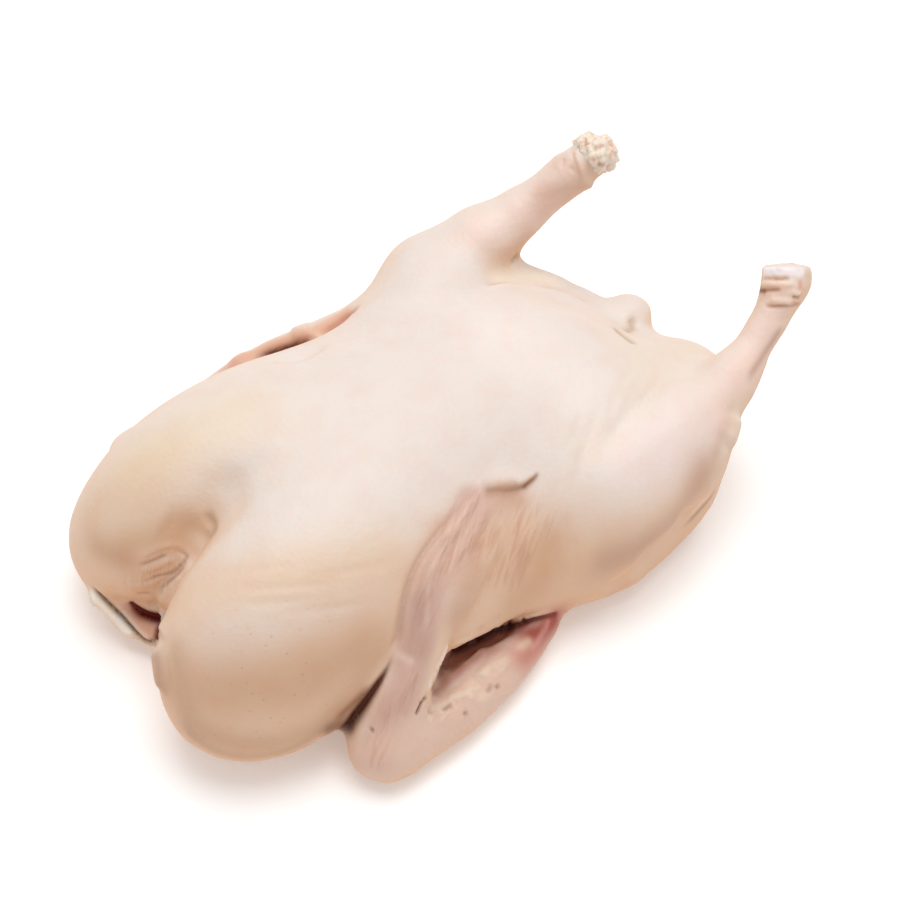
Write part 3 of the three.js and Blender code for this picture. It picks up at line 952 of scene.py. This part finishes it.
# %% Paint the neck end
NECK_SHADES = [
    ("D09A80", 0.8, 3.2, [(130, 606), (142, 620), (156, 633)], 0, 4),
    ("FAF2E6", 0.9, 3.0, [(x - 3, y + 5) for x, y in FLAP_ROOT[1:7]]),
]
paint_tones([("E0B696", 0.5, 1.2, ridge) for ridge in PUCKER_RIDGES])
# Painted shade in the grooves between the puckers.
for line in puckers:
    groove_shade_and_stain(line, "AD8062", 0.6)
paint_tones(NECK_SHADES)
groove_shade_and_stain(slit, "74201A", 1.6, 0.8)
groove_shade_and_stain(slit_end, "7A2418", 1.2)
# Painted shade in the crease along the flap's root.
groove_shade_and_stain(flap_root, "6A5236", 1.1)
paint_tones([("B5917A", 0.65, 3.6, [(157, 657), (160, 672), (167, 696)], (0, 0.2))])
print("mean tone:", tone[:, :3].mean(0).round(3))

# %% Paint the far wing with its painted shade and highlight, and the near hock
FAR_WING = [
    ("E0B090", 0.85, 5.0, [(236, 362), (262, 350), (290, 341), (320, 331), (345, 315)], 0, 4),
    ("D8A494", 0.7, 5.0, [(224, 370), (244, 361)]),
]
# Painted shade along the fold, and a painted highlight on the bulge.
FAR_WING_SHADES = [
    ("CC9680", 0.75, 2.4, [(324, 335), (335, 328), (350, 316), (361, 308)], 0.15),
    ("F2D2B4", 0.7, 1.4, [(316, 334), (319, 336)]),
]
FAR_GAP_MM = [(-50, 88, 57), (-35, 84, 59.5), (-25, 80, 62), (-15, 76, 65.5)]
FAR_GAP_DEEP_MM = [(-46, 88.5, 57), (-36, 84.8, 59), (-30, 82, 60.4), (-24, 79.7, 62), (-17, 77.5, 64.2)]
# Painted shade deep in the gap between the far wing and the breast.
FAR_GAP_SHADES = [
    ("9C5C42", 0.85, 3.4, FAR_GAP_MM, 0.35),
    ("571D12", 0.95, 1.9, FAR_GAP_DEEP_MM, 0.3),
]
HOCK_SHADES = [
    ("7E4438", 0.9, 1.3, [(763, 289), (768, 290)]),
    ("F8F2F3", 0.95, 2.4, [(768, 270), (778, 269), (790, 269), (804, 270)], 0, 4),
    ("DE9080", 0.6, 1.4, [(804, 281), (804, 286)]),
    ("C98458", 0.7, 1.0, [(797, 301), (803, 303)]),
]
paint_tones(FAR_WING)
# Painted shade in the fold along the far wing.
groove_shade_and_stain(far_fold, "BE806A", 0.8)
paint_tones(FAR_WING_SHADES + FAR_GAP_SHADES)
paint_tones([("F8E0CC", 0.8, 1.3, roll) for roll in ROLLS])
# Painted shade in the grooves between the rolls.
for line in rolled:
    groove_shade_and_stain(line, "C4906E", 0.8)
paint_tones(HOCK_SHADES)
print("mean tone:", tone[:, :3].mean(0).round(3))

# %% Store the tones, and where the skin is wet, wrinkled, dotted or lumpy
WET, WRINKLED, DOTTED, LUMPY = np.eye(4)
finish = np.zeros((len(skin.co), 4))
paint(finish, [(260, 640), (300, 680), (250, 720)], DOTTED, 0.4, 26)
paint(finish, [(420, 760), (470, 700), (520, 660)], DOTTED, 0.3, 14)
paint(finish, [(480, 540), (510, 570), (530, 520)], WRINKLED, 0.9, 18)
paint(finish, HAND, WRINKLED, 0.8, 8)
paint(finish, [(140, 580), (175, 560)], WRINKLED, 0.7, 9)
paint(finish, HOLLOW, WET, 0.9, 5)
paint(finish, SLIT, WET, 0.9, 4)
paint(finish, [(530, 650), (556, 616)], WET, 0.7, 6)
paint(finish, [(430, 714), (468, 690), (502, 664)], LUMPY, 1.0, 8)


def keep_layer(piece, name, values):
    """Store one colour for each point of a piece."""
    attribute = piece.data.color_attributes.new(name, "FLOAT_COLOR", "POINT")
    attribute.data.foreach_set("color", values.astype(np.float32).ravel())


keep_layer(duck, "tone", tone)
keep_layer(duck, "finish", finish)
print("points painted:", len(tone))

# %% [markdown]
# ## The skin's material
#
# Raw duck skin is a thin, moist membrane over white fat: light goes in, scatters and comes out warm. That is
# subsurface scattering, with red travelling furthest. Its IOR is that of wet tissue, about 1.4, and its
# surface is satin, since the bird has been dried.
# Over the painted tones lie soft mottling, quill follicles about 3 mm apart, and a fine grain. On the forearm
# pale lumps of fat show through, and the wing's skin is drawn into long fine wrinkles.

# %% Nodes and a base for both materials
def add_node(tree, kind, inputs, **settings):
    """Add a shader node with its settings, and give each named input a value or a link."""
    node = tree.nodes.new("ShaderNode" + kind)
    for name, value in settings.items():
        setattr(node, name, value)
    for name, value in inputs.items():
        if isinstance(value, bpy.types.NodeSocket):
            tree.links.new(value, node.inputs[name])
        else:
            node.inputs[name].default_value = value
    return node


def span(low, high):
    """Inputs of a Map Range node that turns low to high into 0 to 1."""
    return {"From Min": low, "From Max": high, "To Min": 0, "To Max": 1}


def new_material(name, roughness, scatter_mm, weight):
    """A material of that name with its shader set for scattering skin or fat."""
    material = bpy.data.materials.new(name)
    material.use_nodes = True
    shader = material.node_tree.nodes["Principled BSDF"]
    shader.inputs["Roughness"].default_value = roughness
    shader.inputs["IOR"].default_value = 1.4
    shader.inputs["Subsurface Weight"].default_value = weight
    shader.inputs["Subsurface Radius"].default_value = (1.0, 0.45, 0.3)
    shader.inputs["Subsurface Scale"].default_value = scatter_mm * mm
    return material, material.node_tree, shader


raw_skin, tree, shader = new_material("raw_duck_skin", roughness=0.5, scatter_mm=3.0, weight=0.2)
print("materials:", [m.name for m in bpy.data.materials])

# %% Mottle and dot the skin
FACTOR, FIRST, SECOND, MIXED = 0, 6, 7, 2
BLEND = {"data_type": "RGBA"}
TINT = {"data_type": "RGBA", "blend_type": "MULTIPLY"}
FOLLICLE_MM = 3.0
MOTTLE_MM = 14

where = add_node(tree, "TexCoord", {}).outputs["Object"]
tones = add_node(tree, "Attribute", {}, attribute_name="tone").outputs["Color"]
painted = add_node(tree, "Attribute", {}, attribute_name="finish").outputs
is_wet, is_wrinkled, is_dotted = add_node(tree, "SeparateColor", {"Color": painted["Color"]}).outputs
is_lumpy = painted["Alpha"]

clouds = {"Vector": where, "Scale": 1 / (MOTTLE_MM * mm), "Detail": 4.0}
mottle = add_node(tree, "TexNoise", clouds).outputs[0]
mottle = add_node(tree, "MapRange", {"Value": mottle, **span(0.4, 0.7)}).outputs[0]
mottling = {FACTOR: mottle, FIRST: tones, SECOND: linear("FEF9F7")}
mottled = add_node(tree, "Mix", mottling, **TINT).outputs[MIXED]

follicles = {"Vector": where, "Scale": 1 / (FOLLICLE_MM * mm), "Randomness": 0.8}
cells = add_node(tree, "TexVoronoi", follicles).outputs
dot = add_node(tree, "MapRange", {"Value": cells["Distance"], **span(0.26, 0.12)}).outputs[0]
seen = add_node(tree, "SeparateColor", {"Color": cells["Color"]}).outputs[0]
seen = add_node(tree, "MapRange", {"Value": seen, **span(0.45, 0.9)}).outputs[0]
dot = add_node(tree, "Math", {0: dot, 1: seen}, operation="MULTIPLY").outputs[0]
dot = add_node(tree, "Math", {0: dot, 1: is_dotted}, operation="MULTIPLY").outputs[0]
dotted = add_node(tree, "Mix", {FACTOR: dot, FIRST: mottled, SECOND: linear("DABFAE")}, **TINT).outputs[MIXED]
print("nodes so far:", len(tree.nodes))

# %% Lumps of fat under the skin of the forearm, and long fine wrinkles in the skin of the wing
LUMP_MM = 6
WRINKLE_MM = (2.6, 22, 22)
WRINKLE_TURN = math.radians(-59)

lumps = add_node(tree, "TexNoise", {"Vector": where, "Scale": 1 / (LUMP_MM * mm), "Detail": 2.0}).outputs[0]
lumps = add_node(tree, "Math", {0: lumps, 1: is_lumpy}, operation="MULTIPLY").outputs[0]
fatty = add_node(tree, "MapRange", {"Value": lumps, **span(0.4, 0.7)}).outputs[0]
fattening = {FACTOR: fatty, FIRST: dotted, SECOND: linear("ECD8C2")}
lumped = add_node(tree, "Mix", fattening, **BLEND).outputs[MIXED]

lengths = [length * mm for length in WRINKLE_MM]
stretching = {"Vector": where, "Rotation": (0, 0, WRINKLE_TURN), "Scale": lengths}
stretched = add_node(tree, "Mapping", stretching, vector_type="TEXTURE").outputs[0]
folding = {"Vector": stretched, "Scale": 1.0, "Detail": 3.0, "Distortion": 0.6}
wrinkles = add_node(tree, "TexNoise", folding).outputs[0]
wrinkles = add_node(tree, "Math", {0: wrinkles, 1: is_wrinkled}, operation="MULTIPLY").outputs[0]
streaks = add_node(tree, "MapRange", {"Value": wrinkles, **span(0.35, 0.75)}).outputs[0]
streaking = {FACTOR: streaks, FIRST: lumped, SECOND: linear("DDC3B4")}
streaked = add_node(tree, "Mix", streaking, **TINT).outputs[MIXED]
tree.links.new(streaked, shader.inputs["Base Color"])
print("nodes so far:", len(tree.nodes))

# %% Bumps and moisture
GRAIN_MM = 1.6
HEIGHTS_MM = {"grain": 0.12, "follicles": 0.12, "wrinkles": 1.0, "lumps": 1.6}

grain = add_node(tree, "TexNoise", {"Vector": where, "Scale": 1 / (GRAIN_MM * mm), "Detail": 3.0}).outputs[0]
reliefs = {"grain": grain, "follicles": cells["Distance"], "wrinkles": wrinkles, "lumps": lumps}
below = {}
for name, relief in reliefs.items():
    raising = {"Height": relief, "Distance": HEIGHTS_MM[name] * mm, "Strength": 1.0, **below}
    bump = add_node(tree, "Bump", raising)
    below = {"Normal": bump.outputs[0]}
tree.links.new(bump.outputs[0], shader.inputs["Normal"])
moist = add_node(tree, "MapRange", {"Value": is_wet, "To Min": 0.5, "To Max": 0.25}).outputs[0]
tree.links.new(moist, shader.inputs["Roughness"])
duck.data.materials.append(raw_skin)
print("nodes in the skin's material:", len(tree.nodes))

# %% [markdown]
# The torn end is fat and cartilage without skin: paler, wetter and more translucent, with pink where a little
# flesh is left on it.

# %% Fat and cartilage
FLESH_MM = 3.5

torn_fat, tree, shader = new_material("torn_fat_and_cartilage", roughness=0.4, scatter_mm=2.5, weight=0.35)
where = add_node(tree, "TexCoord", {}).outputs["Object"]
flesh = add_node(tree, "TexNoise", {"Vector": where, "Scale": 1 / (FLESH_MM * mm), "Detail": 3.0}).outputs[0]
flesh = add_node(tree, "MapRange", {"Value": flesh, **span(0.5, 0.72)}).outputs[0]
fleshing = {FACTOR: flesh, FIRST: linear("EBDCCB"), SECOND: linear("D9A58C")}
mixed = add_node(tree, "Mix", fleshing, **BLEND).outputs[MIXED]
tree.links.new(mixed, shader.inputs["Base Color"])
tissue.data.materials.append(torn_fat)
print("materials:", [m.name for m in bpy.data.materials])

# %% [markdown]
# ## The studio
#
# The bird lies on a white laminate table, which is matt, so it shows the eye nothing but a soft shadow. It
# glows a little, so that the shadow stays faint. Most of the light comes from above, so the breast is nearly
# white and the lobes that face the camera are tan. The sky fills in from everywhere.

# %% Floor and lights
GLOW = 0.18
SKY = 0.56

bpy.ops.object.select_all(action="DESELECT")
bpy.ops.mesh.primitive_plane_add(size=8, location=(0, 0, 0))
floor = bpy.context.object
floor.name = "floor"
table = bpy.data.materials.new("white_table")
table.use_nodes = True
laminate = table.node_tree.nodes["Principled BSDF"].inputs
laminate["Base Color"].default_value = linear("F8F8F8")
laminate["Roughness"].default_value = 0.9
laminate["Emission Color"].default_value = linear("FFFFFF")
laminate["Emission Strength"].default_value = GLOW
floor.data.materials.append(table)


def soft_light(name, place, aim, size, watts):
    """A square area light at a place in metres, aimed at a point."""
    data = bpy.data.lights.new(name, "AREA")
    data.size = size
    data.energy = watts
    light = bpy.data.objects.new(name, data)
    bpy.context.scene.collection.objects.link(light)
    light.location = place
    light.rotation_euler = (Vector(aim) - Vector(place)).to_track_quat("-Z", "Y").to_euler()


soft_light("overhead", place=(0.3, 0.35, 2.4), aim=(0, 0, 0.05), size=1.8, watts=40)
world = bpy.data.worlds.new("studio")
bpy.context.scene.world = world
world.use_nodes = True
sky = world.node_tree.nodes["Background"].inputs
sky["Color"].default_value = linear("FFFFFF")
sky["Strength"].default_value = SKY
bpy.context.scene.view_settings.view_transform = "Standard"
print("lights:", [light.name for light in bpy.data.lights])

# %% Hand the bird over
for piece in (duck, tissue):
    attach(piece, "root")
    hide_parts("duck")
